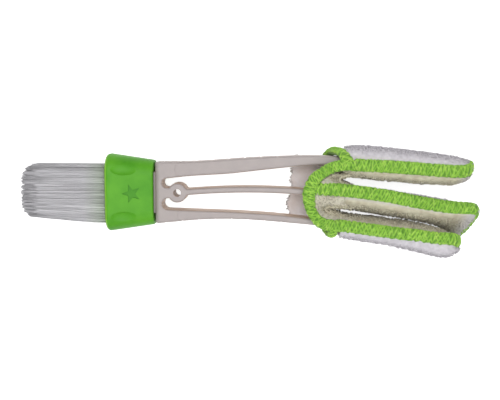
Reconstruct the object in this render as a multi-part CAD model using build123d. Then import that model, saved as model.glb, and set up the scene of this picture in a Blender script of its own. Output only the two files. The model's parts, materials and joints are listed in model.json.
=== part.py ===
from build123d import *
import math
import os
import random

os.makedirs("parts", exist_ok=True)

# Lengths are in millimetres. The origin is the middle of the hanging hole, halfway through the plate.
# +X runs from the hole to the cloth fingers, +Y from the lower to the upper arm, +Z out of the plate's face.

# Handle plate, hanging ring and slots
plate_thickness = 9.5
plate_edge_round = 0.9
hole_radius = 1.5
ring_radius = 3.8
neck_width = 4.2
shoulder_reach = 8.7
shoulder_half_height = 12.1
shoulder_round = 1.9
slot_reach = 5.8
upper_slot_radius = 1.75
lower_slot_radius = 2.2
tang_length = 8.5
tang_height = 16.0
tang_thickness = 6.0

# Arms and stem: each is a centre line with a width, from its flexing root to the start of its blade
pivot_reach = 2.0
arm_length = 64.0
upper_root_rise = 9.2
upper_tip_rise = 12.3
upper_root_width = 5.8
lower_root_drop = 8.85
lower_tip_drop = 12.5
lower_root_width = 4.3
stem_root_rise = 0.2
stem_tip_drop = 1.2
stem_width = 2.35
stem_junction_round = 1.2
root_running_clearance = 0.06
root_shoulder_gap = 0.2
root_shoulder_depth = 0.15

# Grip notches across the outer edges of the plate
notch_pitch = 6.4
notch_radius = 0.5
notch_depth = 0.22
upper_notch_back = 5.9
lower_notch_back = 4.4
upper_notch_count = 8
lower_notch_count = 8

# Blades inside the cloth fingers
blade_thickness = 2.6
blade_breadth = 14.0
blade_tip_round = 5.0
blade_overlap = 1.0
outer_blade_length = 33.0
centre_blade_length = 36.5
glove_droop_deg = 8.0

# Collar and brush
collar_gap = 0.4
collar_length = 18.7
collar_neck_height = 25.2
collar_neck_depth = 14.0
collar_mouth_height = 30.8
collar_mouth_depth = 17.0
collar_wall = 2.2
collar_rim_round = 1.5
collar_lip_round = 0.6
oval_corner_share = 0.42
dimple_length = 9.2
dimple_width = 4.4
dimple_depth = 0.7
dimple_from_neck = 10.2
dimple_rise = 9.6
dimple_ball_share = 3.5
star_radius = 3.7
star_inner_share = 0.42
star_depth = 0.45
star_from_neck = 8.2
block_fit = 0.08
block_face_recess = 3.4
tang_fit = 0.1
block_neck_recess = 1.2
backing_thickness = 2.0
bundle_height = 23.1
bundle_depth = 10.8
bundle_drop = 0.4
bristle_exposed = 33.7
strand_root_width = 0.44
strand_tip_width = 0.3
tuft_rows = 3
tufts_in_row = 9
strands_across_tuft = 3
strands_through_tuft = 5
tuft_gap = 0.45
ragged_length = 0.5
lower_side_tip_share = 0.8
corner_shortening = 3.2
corner_power = 6
strand_sink_share = 0.75

# Cloth fingers: lengths from the mouth line, thickness across the gap, and half the breadth through the plate
upper_finger_length = 47.0
upper_finger_thickness = 11.2
middle_finger_length = 49.2
middle_finger_thickness = 9.4
lower_finger_length = 43.6
lower_finger_thickness = 9.0
cloth_half_breadth = 9.6
finger_edge_round = 2.4
middle_finger_twist_deg = 26.0
pocket_clearance = 0.3
sleeve_gap = 1.0
seam_width = 4.4
seam_thickness = 1.2

# Palm cloth, mouth binding and hems
mouth_radius = 14.5
mouth_centre_back = 3.3
mouth_centre_drop = 1.2
binding_width = 5.4
binding_thickness = 2.6
binding_top_deg = 86.0
binding_bottom_deg = 262.0
cloth_joint_gap = 0.2
palm_back_length = 22.5
palm_back_rise = 12.6
palm_back_drop = 12.4
palm_back_round = 3.0
back_binding_width = 4.4
hem_length = 7.0
hem_thickness = 2.3
hem_arm_gap = 0.6
hem_breadth = 14.2

# A fillet takes at most this share of its wall; places closer than the match share of a width are one place
fillet_wall_share = 0.42
match_share = 0.1

# Shares that shape the arms: how far along, how far from root to tip height, and from root to tip width
upper_arm_shares = [
    (0.0, 0.0, 0.0),
    (0.094, 0.11, 0.09),
    (0.281, 0.36, 0.05),
    (0.438, 0.65, 0.19),
    (0.594, 0.90, 0.39),
    (0.75, 1.10, 0.62),
    (0.875, 1.13, 0.74),
    (1.0, 1.0, 1.0),
]
lower_arm_shares = [
    (0.0, 0.0, 0.0),
    (0.094, -0.04, 0.41),
    (0.281, -0.04, 0.85),
    (0.438, 0.08, 0.94),
    (0.594, 0.29, 0.92),
    (0.75, 0.56, 1.05),
    (0.875, 0.78, 1.05),
    (1.0, 1.0, 1.0),
]
stem_shares = [
    (0.01, 0.0, 0.0),
    (0.293, -0.75, 0.0),
    (0.47, -0.8, 0.0),
    (0.66, -0.46, 0.0),
    (0.875, 0.4, 0.3),
    (1.0, 1.0, 1.0),
]

# Shares that shape the fingers: how far along, top and underside for its thickness, and breadth
upper_finger_shares = [
    (0.0, 0.42, -0.46, 1.04),
    (0.08, 0.50, -0.46, 1.04),
    (0.22, 0.56, -0.44, 1.04),
    (0.42, 0.60, -0.40, 1.04),
    (0.64, 0.61, -0.33, 1.04),
    (0.82, 0.59, -0.26, 1.04),
    (0.93, 0.52, -0.13, 0.97),
    (0.985, 0.42, 0.0, 0.88),
    (1.0, 0.34, 0.10, 0.78),
]
middle_finger_shares = [
    (0.0, 0.44, -0.45, 1.04),
    (0.2, 0.43, -0.48, 1.04),
    (0.4, 0.40, -0.52, 1.04),
    (0.6, 0.36, -0.55, 1.04),
    (0.76, 0.30, -0.58, 1.04),
    (0.86, 0.14, -0.54, 1.0),
    (0.95, 0.0, -0.48, 0.96),
    (1.0, -0.08, -0.36, 0.88),
]
lower_finger_shares = [
    (0.0, 0.37, -0.50, 1.04),
    (0.2, 0.35, -0.51, 1.04),
    (0.4, 0.32, -0.52, 1.04),
    (0.58, 0.29, -0.59, 1.04),
    (0.76, 0.26, -0.66, 1.04),
    (0.88, 0.20, -0.60, 1.03),
    (0.96, 0.13, -0.45, 0.91),
    (1.0, 0.07, -0.27, 0.78),
]
wedge_shares = (0.0, 0.25, 0.5, 0.75, 1.0)
middle_finger_turn_shares = [0.35, 0.37, 0.4, 0.44, 0.52, 0.8, 0.95, 1.0]
upper_seam_rise_shares = (-0.04, 0.16)
middle_seam_rise_shares = (0.34, 0.22)
lower_seam_rise_shares = (0.02, 0.04)

blade_start = pivot_reach + arm_length
half_plate = plate_thickness / 2
glove_frame = Location((blade_start, -stem_tip_drop, 0), (0, 0, -glove_droop_deg))
droop = math.radians(glove_droop_deg)
upper_offset = (upper_tip_rise + stem_tip_drop) * math.cos(droop)
lower_offset = (stem_tip_drop - lower_tip_drop) * math.cos(droop)


def save(name, shape):
    export_step(shape, f"parts/{name}.step")


def block(low, high):
    """A box between two corners."""
    size = [b - a for a, b in zip(low, high)]
    middle = [(a + b) / 2 for a, b in zip(low, high)]
    return Pos(*middle) * Box(*size)


def slab(face, low, high):
    """A face on the XY plane, extruded between two heights."""
    return Pos(0, 0, low) * extrude(face, amount=high - low)


def outline(points):
    return make_face(Polyline(*points, close=True))


def glove_along(x, y):
    """Distance along the glove's line of a point given in the handle's frame."""
    return (x - blade_start) * math.cos(droop) - (y + stem_tip_drop) * math.sin(droop)


# Handle: one flat outline, rounded, then cut into the nodes that flex apart


def along_arm(shares, root_y, tip_y, root_width, tip_width):
    """Points of an arm: distance along X, its centre line's height and half its width."""
    points = []
    for along, rise, narrowing in shares:
        y = root_y + rise * (tip_y - root_y)
        half = (root_width + narrowing * (tip_width - root_width)) / 2
        points.append((pivot_reach + along * arm_length, y, half))
    return points


upper_line = along_arm(upper_arm_shares, upper_root_rise, upper_tip_rise, upper_root_width, blade_thickness)
lower_line = along_arm(lower_arm_shares, -lower_root_drop, -lower_tip_drop, lower_root_width, blade_thickness)
stem_line = along_arm(stem_shares, stem_root_rise, -stem_tip_drop, stem_width, blade_thickness)
upper_root_top = upper_root_rise + upper_root_width / 2
upper_root_inner = upper_root_rise - upper_root_width / 2
lower_root_inner = -lower_root_drop + lower_root_width / 2
lower_root_bottom = -lower_root_drop - lower_root_width / 2


def arm_outline(line):
    top = [(x, y + half) for x, y, half in line]
    bottom = [(x, y - half) for x, y, half in reversed(line)]
    return make_face([Spline(*top), Line(top[-1], bottom[0]), Spline(*bottom), Line(bottom[-1], top[0])])


def slot_void(side, inner_y, radius):
    """The round end of a slot beside the ring, opening towards its arm."""
    near = side * neck_width / 2
    far = side * (neck_width / 2 + 2 * radius)
    end = -slot_reach + radius
    mouth = outline([(end, far), (pivot_reach, inner_y), (pivot_reach, near), (end, near)])
    return mouth + Pos(end, (near + far) / 2) * Circle(radius)


def handle_outline():
    half_neck = neck_width / 2
    plate = outline(
        [
            (-shoulder_reach, shoulder_half_height),
            (pivot_reach, upper_root_top),
            (pivot_reach, lower_root_bottom),
            (-shoulder_reach, -shoulder_half_height),
        ]
    )
    plate -= slot_void(1, upper_root_inner, upper_slot_radius)
    plate -= slot_void(-1, lower_root_inner, lower_slot_radius)
    plate -= outline([(0, half_neck), (pivot_reach, half_neck), (pivot_reach, -half_neck), (0, -half_neck)])
    plate += Circle(ring_radius)
    plate += arm_outline(stem_line)
    near = match_share * stem_width
    junction = [v for v in plate.vertices() if v.X > 0 and abs(math.hypot(v.X, v.Y) - ring_radius) < near]
    plate = fillet(junction, stem_junction_round)
    return plate + arm_outline(upper_line) + arm_outline(lower_line)


def edge_height(line, side, x):
    """Height of an arm's outer edge at x, and of the plate's edge before the arm begins."""
    edge = [(-shoulder_reach, side * shoulder_half_height)]
    edge += [(px, y + side * half) for px, y, half in line]
    for (x0, y0), (x1, y1) in zip(edge, edge[1:]):
        if x <= x1:
            return y0 + (y1 - y0) * (x - x0) / (x1 - x0)
    return edge[-1][1]


def notches(line, side, back, count):
    """Shallow grooves across the outer edge of an arm."""
    tools = []
    for number in range(count):
        x = number * notch_pitch - back
        y = edge_height(line, side, x) + side * (notch_radius - notch_depth)
        tools.append(Pos(x, y) * Cylinder(notch_radius, 2 * plate_thickness))
    return tools


def rounded_moulding():
    moulding = slab(handle_outline(), -half_plate, half_plate)
    shoulder = moulding.faces().sort_by(Axis.X)[0].edges().filter_by(Axis.Y)
    moulding = fillet(shoulder, min(shoulder_round, fillet_wall_share * plate_thickness))
    faces = moulding.faces().sort_by(Axis.Z)
    rims = faces[0].edges() + faces[-1].edges()
    moulding = fillet(rims, min(plate_edge_round, fillet_wall_share * stem_width))
    moulding -= notches(upper_line, 1, upper_notch_back, upper_notch_count)
    moulding -= notches(lower_line, -1, lower_notch_back, lower_notch_count)
    return moulding


def root_zone(rise, width, gap, clearance, low, high):
    """Where an arm is cut from the plate: a round root in a round seat, and all that lies beyond it."""
    radius = width / 2 - root_shoulder_depth + clearance
    beyond = block((pivot_reach + gap, low, -plate_thickness), (2 * blade_start, high, plate_thickness))
    return beyond + Pos(pivot_reach, rise) * Cylinder(radius, 2 * plate_thickness)


def blade(offset, length, tip_x, tip_y):
    """A flat blade square to the plate, from an arm's tip along the glove's line."""
    begin = glove_along(tip_x, tip_y) - blade_overlap
    half = blade_thickness / 2
    flat = block((begin, offset - half, -blade_breadth / 2), (length, offset + half, blade_breadth / 2))
    corners = flat.edges().filter_by(Axis.Y).group_by(Axis.X)[-1]
    return glove_frame * fillet(corners, min(blade_tip_round, fillet_wall_share * blade_breadth))


def build_handle():
    moulding = rounded_moulding()
    above = (upper_root_inner + ring_radius) / 2
    below = (lower_root_inner - ring_radius) / 2
    high = 2 * shoulder_half_height
    upper_cut = (upper_root_rise, upper_root_width)
    lower_cut = (-lower_root_drop, lower_root_width)
    upper_arm = moulding & root_zone(*upper_cut, root_shoulder_gap, 0, above, high)
    lower_arm = moulding & root_zone(*lower_cut, root_shoulder_gap, 0, -high, below)
    middle = moulding - root_zone(*upper_cut, 0, root_running_clearance, above, high)
    middle -= root_zone(*lower_cut, 0, root_running_clearance, -high, below)
    stem_start = ring_radius + stem_junction_round
    stem_zone = block((stem_start, below, -plate_thickness), (2 * blade_start, above, plate_thickness))
    base = middle - stem_zone - Cylinder(hole_radius, 2 * plate_thickness)
    tang = block(
        (-shoulder_reach - tang_length, -tang_height / 2, -tang_thickness / 2),
        (-shoulder_reach + shoulder_round, tang_height / 2, tang_thickness / 2),
    )
    save("handle_base", base + tang)
    save("centre_arm", (middle & stem_zone) + blade(0, centre_blade_length, blade_start, -stem_tip_drop))
    save("upper_arm", upper_arm + blade(upper_offset, outer_blade_length, blade_start, upper_tip_rise))
    save("lower_arm", lower_arm + blade(lower_offset, outer_blade_length, blade_start, -lower_tip_drop))


# Brush: an oval collar over a block, with tufts of bristles on slices of the block's backing

neck_x = -shoulder_reach - collar_gap
mouth_x = neck_x - collar_length
block_face_x = mouth_x + block_face_recess


def oval(x, inset):
    """The collar's outline at x, moved in by an inset."""
    share = (neck_x - x) / collar_length
    height = collar_neck_height + share * (collar_mouth_height - collar_neck_height) - 2 * inset
    depth = collar_neck_depth + share * (collar_mouth_depth - collar_neck_depth) - 2 * inset
    plane = Plane(origin=(x, 0, 0), x_dir=(0, 1, 0), z_dir=(-1, 0, 0))
    return plane * RectangleRounded(height, depth, oval_corner_share * depth)


def oval_taper(start_x, end_x, inset):
    return loft([oval(start_x, inset), oval(end_x, inset)], ruled=True)


def half_depth_at(x, y):
    """Height of the collar's outer face over the point (x, y)."""
    share = (neck_x - x) / collar_length
    half_height = (collar_neck_height + share * (collar_mouth_height - collar_neck_height)) / 2
    depth = collar_neck_depth + share * (collar_mouth_depth - collar_neck_depth)
    corner = oval_corner_share * depth
    past = abs(y) - (half_height - corner)
    if past <= 0:
        return depth / 2
    return depth / 2 - corner + math.sqrt(corner**2 - past**2)


def dimple(side_y, side_z):
    """A shallow lens pressed into the collar, as part of a flattened ball."""
    x = neck_x - dimple_from_neck
    y = side_y * dimple_rise
    tall = dimple_ball_share * dimple_depth
    footprint = math.sqrt(1 - ((tall - dimple_depth) / tall) ** 2)
    ball = scale(Sphere(1), by=(dimple_length / 2 / footprint, dimple_width / 2 / footprint, tall))
    return Pos(x, y, side_z * (half_depth_at(x, y) + tall - dimple_depth)) * ball


def star():
    """A plain five-pointed star, pressed into the front face."""
    points = []
    for corner in range(10):
        radius = star_radius * (star_inner_share if corner % 2 else 1)
        turn = math.pi + corner * math.pi / 5
        points.append((radius * math.cos(turn), radius * math.sin(turn)))
    x = neck_x - star_from_neck
    slope = math.degrees(math.atan2((collar_mouth_depth - collar_neck_depth) / 2, collar_length))
    place = Location((x, 0, half_depth_at(x, 0)), (0, slope, 0))
    return place * slab(outline(points), -star_depth, star_radius)


def build_collar():
    collar = oval_taper(neck_x, mouth_x, 0)
    ends = collar.faces().sort_by(Axis.X)
    collar = fillet(ends[0].edges(), min(collar_rim_round, fillet_wall_share * collar_wall * 2))
    neck_edges = collar.faces().sort_by(Axis.X)[-1].edges()
    collar = fillet(neck_edges, min(collar_lip_round, fillet_wall_share * collar_wall))
    collar -= oval_taper(neck_x, mouth_x, collar_wall)
    for side_z in (1, -1):
        for side_y in (1, -1):
            collar -= dimple(side_y, side_z)
    save("collar", collar - star())


def build_block():
    front = block_face_x + backing_thickness
    solid = oval_taper(neck_x - block_neck_recess, front, collar_wall + block_fit)
    end = -shoulder_reach - tang_length - tang_fit
    side = tang_height / 2 + tang_fit
    face = tang_thickness / 2 + tang_fit
    save("brush_block", solid - block((end, -side, -face), (neck_x, side, face)))


def strand(root, tip):
    """One bristle: a square prism that thins towards its tip."""
    ends = []
    for (x, y, z), width in ((root, strand_root_width), (tip, strand_tip_width)):
        plane = Plane(origin=(x, y, z), x_dir=(0, 1, 0), z_dir=(-1, 0, 0))
        ends.append(plane * Rectangle(width, width))
    return loft(ends, ruled=True)


def tuft_places(size, tufts, strands):
    """Places of the strands across a bundle, in tufts with a gap between tufts."""
    cell = size / tufts
    pitch = (cell - tuft_gap) / strands
    start = -size / 2 + (tuft_gap + pitch) / 2
    return [[start + tuft * cell + number * pitch for number in range(strands)] for tuft in range(tufts)]


def in_bundle(y, z):
    """True where a strand's root lies inside the oval bundle."""
    corner = oval_corner_share * bundle_depth
    dy = abs(y) - (bundle_height / 2 - corner)
    dz = abs(z) - (bundle_depth / 2 - corner)
    return dy <= 0 or dz <= 0 or math.hypot(dy, dz) <= corner


def bristle_row(row_places, dice):
    strands = []
    for z in row_places:
        for tuft in tuft_places(bundle_height, tufts_in_row, strands_across_tuft):
            for y in tuft:
                if not in_bundle(y, z):
                    continue
                edge = abs(2 * y / bundle_height) ** corner_power
                tip_y = y if y > 0 else y * (1 - edge) + y * lower_side_tip_share * edge
                short = corner_shortening * edge + ragged_length * dice.random()
                root = (block_face_x + (1 - strand_sink_share) * backing_thickness, y - bundle_drop, z)
                tip = (mouth_x - bristle_exposed + short, tip_y - bundle_drop, z)
                strands.append(strand(root, tip))
    return strands


def build_bristles():
    dice = random.Random(7)
    depth = bundle_depth / tuft_rows
    plug = oval_taper(block_face_x + backing_thickness, block_face_x, collar_wall + block_fit)
    rows = tuft_places(bundle_depth, tuft_rows, strands_through_tuft)
    high = collar_mouth_height
    count = 0
    for number, name in enumerate(("bristles_back", "bristles_middle", "bristles_front")):
        low_z = -collar_mouth_depth if number == 0 else (number - tuft_rows / 2) * depth
        high_z = collar_mouth_depth if number == tuft_rows - 1 else (number + 1 - tuft_rows / 2) * depth
        backing = plug & block((mouth_x, -high, low_z), (neck_x, high, high_z))
        strands = bristle_row(rows[number], dice)
        count += len(strands)
        save(name, backing.fuse(*strands))
    print("strands", count)


# Cloth cover: everything here is drawn in the glove's own frame, where x runs along the fingers


def finger_body(offset, start, length, thickness, shares, turns):
    """A cloth finger's outer shape, through rounded sections along it, with flat sides for the seams."""
    sections = []
    for (along, top, underside, breadth), turn in zip(shares, turns):
        height = (top - underside) * thickness
        x = start + along * (length - start)
        middle = offset + (top + underside) / 2 * thickness
        plane = Plane(origin=(x, middle, 0), x_dir=(0, math.cos(turn), -math.sin(turn)), z_dir=(1, 0, 0))
        corner = min(finger_edge_round, fillet_wall_share * height)
        sections.append(plane * RectangleRounded(height, 2 * cloth_half_breadth * breadth, corner))
    far = 2 * thickness
    low = (-length, offset - far, -cloth_half_breadth)
    high = (2 * length, offset + far, cloth_half_breadth)
    return loft(sections, ruled=True) & block(low, high)


def finger(names, offset, start, length, thickness, shares, turns, blade_length):
    """Two cloth panels round a blade, parted along the blade's middle."""
    body = finger_body(offset, start, length, thickness, shares, turns)
    half_pocket = blade_thickness / 2 + pocket_clearance
    pocket_side = blade_breadth / 2 + pocket_clearance
    body -= block(
        (start - length, offset - half_pocket, -pocket_side),
        (blade_length + 2 * pocket_clearance, offset + half_pocket, pocket_side),
    )
    far = 2 * thickness
    upper = body & block((start - length, offset, -far), (2 * length, offset + far, far))
    lower = body & block((start - length, offset - far, -far), (2 * length, offset, far))
    save(names[0], glove_frame * upper)
    save(names[1], glove_frame * lower)


def seam(name, offset, start, length, thickness, rises):
    """A stitched band along the near edge of a finger, round its tip and back along the far edge."""
    begin = offset + rises[0] * thickness
    rise = (rises[1] - rises[0]) * thickness
    turn = math.degrees(math.atan2(rise, length - start))
    reach = math.hypot(rise, length - start)
    half = seam_width / 2
    outer = cloth_half_breadth + seam_thickness
    inner_end = reach + cloth_joint_gap
    hoop = block((0, -half, -outer), (inner_end + seam_thickness, half, outer))
    corners = hoop.edges().filter_by(Axis.Y).group_by(Axis.X)[-1]
    hoop = fillet(corners, seam_thickness)
    hoop -= block((-reach, -seam_width, -cloth_half_breadth), (inner_end, seam_width, cloth_half_breadth))
    save(name, glove_frame * Location((start, begin, 0), (0, 0, turn)) * hoop)


def build_fingers():
    upper = (upper_offset, sleeve_gap, upper_finger_length, upper_finger_thickness)
    middle = (0, 0, middle_finger_length, middle_finger_thickness)
    lower = (lower_offset, sleeve_gap, lower_finger_length, lower_finger_thickness)
    upright = [0] * len(upper_finger_shares)
    twist = [share * math.radians(middle_finger_twist_deg) for share in middle_finger_turn_shares]
    upper_panels = ("upper_outer_panel", "upper_inner_panel")
    middle_panels = ("middle_upper_panel", "middle_lower_panel")
    lower_panels = ("lower_inner_panel", "lower_outer_panel")
    finger(upper_panels, *upper, upper_finger_shares, upright, outer_blade_length)
    finger(middle_panels, *middle, middle_finger_shares, twist, centre_blade_length)
    finger(lower_panels, *lower, lower_finger_shares, upright, outer_blade_length)
    seam("upper_seam", *upper, upper_seam_rise_shares)
    seam("middle_seam", *middle, middle_seam_rise_shares)
    seam("lower_seam", *lower, lower_seam_rise_shares)


def build_mouth():
    centre = Pos(-mouth_centre_back, -mouth_centre_drop)
    inner = mouth_radius - binding_width
    palm_low = blade_breadth / 2 + pocket_clearance
    reach = 2 * mouth_radius
    left_side = outline([(-2 * reach, -reach), (0, -reach), (0, reach), (-2 * reach, reach)])
    palm = (centre * Circle(inner - cloth_joint_gap)) & left_side
    save("palm_front", glove_frame * slab(palm, palm_low, cloth_half_breadth))

    ring = Circle(mouth_radius) - Circle(inner)
    sweep = math.radians(binding_bottom_deg - binding_top_deg)
    turns = [math.radians(binding_top_deg) + share * sweep for share in wedge_shares]
    wedge = outline([(0, 0)] + [(reach * math.cos(turn), reach * math.sin(turn)) for turn in turns])
    top = cloth_half_breadth + seam_thickness
    band = slab(centre * (ring & wedge), top - binding_thickness, top)
    save("binding_front", glove_frame * band)

    back = outline(
        [
            (-palm_back_length, -palm_back_drop),
            (0, -palm_back_drop),
            (0, palm_back_rise),
            (-palm_back_length, palm_back_rise),
        ]
    )
    left_corners = back.vertices().group_by(Axis.X)[0]
    back = fillet(left_corners, min(palm_back_round, fillet_wall_share * palm_back_length))
    save("palm_back", glove_frame * slab(back, -cloth_half_breadth, -palm_low))
    strip = back & outline(
        [
            (-palm_back_length, -reach),
            (-palm_back_length + back_binding_width, -reach),
            (-palm_back_length + back_binding_width, reach),
            (-palm_back_length, reach),
        ]
    )
    save("binding_back", glove_frame * slab(strip, -top, -cloth_half_breadth))


def build_hems():
    clear = blade_thickness / 2 + hem_arm_gap
    half = hem_breadth / 2
    left = sleeve_gap - hem_length
    above = upper_offset + clear
    below = lower_offset - clear
    save("upper_hem", glove_frame * block((left, above, -half), (sleeve_gap, above + hem_thickness, half)))
    save("lower_hem", glove_frame * block((left, below - hem_thickness, -half), (sleeve_gap, below, half)))


build_handle()
build_collar()
build_block()
build_bristles()
build_fingers()
build_mouth()
build_hems()
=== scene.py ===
import bpy
import bmesh
import json
import math
import random
from mathutils import Matrix, Vector, noise


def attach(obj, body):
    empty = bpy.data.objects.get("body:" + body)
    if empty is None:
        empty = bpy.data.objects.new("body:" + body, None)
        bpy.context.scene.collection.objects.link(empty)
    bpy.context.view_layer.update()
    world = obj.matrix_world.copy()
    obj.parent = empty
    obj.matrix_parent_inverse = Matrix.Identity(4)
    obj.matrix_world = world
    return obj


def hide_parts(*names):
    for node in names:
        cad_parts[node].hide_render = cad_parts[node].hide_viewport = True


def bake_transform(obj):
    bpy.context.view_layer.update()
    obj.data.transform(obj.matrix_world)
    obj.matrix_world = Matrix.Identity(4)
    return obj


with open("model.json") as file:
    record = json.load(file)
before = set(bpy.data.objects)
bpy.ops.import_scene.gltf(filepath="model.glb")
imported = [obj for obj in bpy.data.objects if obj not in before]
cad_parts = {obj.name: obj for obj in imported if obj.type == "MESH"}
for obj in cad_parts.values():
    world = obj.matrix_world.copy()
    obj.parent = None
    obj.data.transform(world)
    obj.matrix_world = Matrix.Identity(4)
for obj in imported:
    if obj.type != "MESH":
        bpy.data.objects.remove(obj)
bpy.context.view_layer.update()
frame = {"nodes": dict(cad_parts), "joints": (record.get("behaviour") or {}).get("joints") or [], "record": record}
print("frame loaded")

mm = 0.001
slide = next(joint for joint in frame["joints"] if joint["name"] == "glove_slide")
gloveTurn = math.atan2(slide["axis"][1], slide["axis"][0])
gloveSpot = (66.0, -1.2, 0.0)  # where the cloth fingers' own u, v, z start, in mm
toRow = Matrix.Scale(mm, 4)
gloveToRow = toRow @ Matrix.Translation(gloveSpot) @ Matrix.Rotation(gloveTurn, 4, "Z")


# small helpers

def smoothStep(t):
    t = min(max(t, 0.0), 1.0)
    return t * t * (3 - 2 * t)


def hump(v, middle, width):
    return math.exp(-((v - middle) / width) ** 2)


def shares(count):
    return [k / count for k in range(count + 1)]


def boxedCircle(sides, power):
    # (across, up) round a circle, squared off by raising both to a power with their sign kept
    turns = [2 * math.pi * k / sides for k in range(sides)]
    return [[math.copysign(abs(way) ** power, way) for way in (math.cos(a), math.sin(a))] for a in turns]


def along(table, x):
    # straight-line value between the rows of a table whose first column is x
    if x <= table[0][0]:
        return table[0][1:]
    for low, high in zip(table, table[1:]):
        if x <= high[0]:
            t = (x - low[0]) / (high[0] - low[0])
            return [a + (b - a) * t for a, b in zip(low[1:], high[1:])]
    return table[-1][1:]


def between(a, b, c, d, t):
    # a smooth way from b to c, for numbers and for vectors
    return 0.5 * (2 * b + (c - a) * t + (2 * a - 5 * b + 4 * c - d) * t**2 + (3 * b - a - 3 * c + d) * t**3)


def curvePoints(points, step):
    # a smooth curve through given points, sampled about every step
    ends = [points[0]] + list(points) + [points[-1]]
    ends = [Vector(p) for p in ends]
    out = []
    for a, b, c, d in zip(ends, ends[1:], ends[2:], ends[3:]):
        count = max(int((c - b).length / step), 1)
        out += [between(a, b, c, d, k / count) for k in range(count)]
    out.append(ends[-1])
    return out


def ringLoop(bm, points):
    # one closed ring of vertices at the given points
    made = bmesh.ops.create_circle(bm, segments=len(points), radius=1, cap_ends=False)
    for vert, point in zip(made["verts"], points):
        vert.co = point
    return list({edge for vert in made["verts"] for edge in vert.link_edges})


def bridgeRings(bm, rings, capStart=True, capEnd=True):
    for first, second in zip(rings, rings[1:]):
        bmesh.ops.bridge_loops(bm, edges=first + second)
    for ring, wanted in ((rings[0], capStart), (rings[-1], capEnd)):
        if wanted:
            bmesh.ops.contextual_create(bm, geom=ring)


def addObject(name, data):
    made = bpy.data.objects.new(name, data)
    bpy.context.scene.collection.objects.link(made)
    return made


def shadeSmooth(mesh):
    for face in mesh.polygons:
        face.use_smooth = True


def newMesh(bm, name):
    mesh = bpy.data.meshes.new(name)
    bm.to_mesh(mesh)
    bm.free()
    return mesh


def toMesh(bm, name, matrix):
    bmesh.ops.transform(bm, matrix=matrix, verts=bm.verts)
    bmesh.ops.recalc_face_normals(bm, faces=bm.faces)
    mesh = newMesh(bm, name)
    shadeSmooth(mesh)
    return addObject(name, mesh)


def turnedPoint(turn, u, h, b):
    # a point at height h and breadth b of a section that is turned about the finger's length
    a = math.radians(turn)
    return (u, h * math.cos(a) + b * math.sin(a), b * math.cos(a) - h * math.sin(a))


def bakeModifiers(piece):
    depsgraph = bpy.context.evaluated_depsgraph_get()
    mesh = bpy.data.meshes.new_from_object(piece.evaluated_get(depsgraph))
    piece.modifiers.clear()
    piece.data = mesh


def dress(piece, slot, nodes=()):
    piece.data.materials.clear()
    piece.data.materials.append(finishes[slot])
    if nodes:
        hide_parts(*nodes)


# materials

def newMaterial(name, roughness):
    material = bpy.data.materials.new(name)
    material.use_nodes = True
    shader = material.node_tree.nodes["Principled BSDF"]
    shader.inputs["Roughness"].default_value = roughness
    return material, material.node_tree, shader


def addNode(tree, kind, **settings):
    node = tree.nodes.new(kind)
    for name, value in settings.items():
        if hasattr(node, name):
            setattr(node, name, value)
        else:
            node.inputs[name.replace("_", " ")].default_value = value
    return node


def colourRamp(tree, factor, stops):
    ramp = tree.nodes.new("ShaderNodeValToRGB")
    tree.links.new(factor, ramp.inputs["Fac"])
    while len(ramp.color_ramp.elements) < len(stops):
        ramp.color_ramp.elements.new(0.5)
    for element, (place, colour) in zip(ramp.color_ramp.elements, stops):
        element.position = place
        element.color = (*colour, 1)
    return ramp.outputs["Color"]


def grain(tree, scale, detail=3.0):
    place = tree.nodes.new("ShaderNodeTexCoord")
    texture = addNode(tree, "ShaderNodeTexNoise", Scale=scale, Detail=detail)
    tree.links.new(place.outputs["Object"], texture.inputs["Vector"])
    return texture.outputs["Fac"]


def mottle(tree, scale, detail, dark, light):
    # two tones in soft patches
    return colourRamp(tree, grain(tree, scale, detail), [(0.3, dark), (0.7, light)])


def addBump(tree, shader, height, strength, distance):
    bump = addNode(tree, "ShaderNodeBump", Strength=strength, Distance=distance)
    tree.links.new(height, bump.inputs["Height"])
    tree.links.new(bump.outputs["Normal"], shader.inputs["Normal"])


def plug(tree, socket, value):
    # another node's output is linked in; a number or a colour is set
    if isinstance(value, bpy.types.NodeSocket):
        tree.links.new(value, socket)
    else:
        socket.default_value = value


def addMath(tree, operation, *values):
    node = addNode(tree, "ShaderNodeMath", operation=operation)
    for socket, value in zip(node.inputs, values):
        plug(tree, socket, value)
    return node.outputs[0]


def mixColours(tree, factor, first, second, blend="MIX"):
    mix = addNode(tree, "ShaderNodeMix", data_type="RGBA", blend_type=blend)
    for place, value in ((0, factor), (6, first), (7, second)):
        plug(tree, mix.inputs[place], value)
    return mix.outputs[2]


def axesOf(tree, output):
    # x, y and z of a point's place ("Object") or of the way it faces ("Normal")
    place = tree.nodes.new("ShaderNodeTexCoord")
    split = tree.nodes.new("ShaderNodeSeparateXYZ")
    tree.links.new(place.outputs[output], split.inputs[0])
    return split.outputs


# the arms' outer walls lie beyond two lines that spread with x, from startY on each side of middleY, in mm
armLine = {"middleY": 1.0, "spread": 0.055, "startY": 8.6}
handleTints = {"slotPaintedGlow": (0.68, 0.505, 0.385), "wallPaintedGlow": (0.50, 0.42, 0.385), "faceGrey": (0.44, 0.388, 0.375)}


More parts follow.
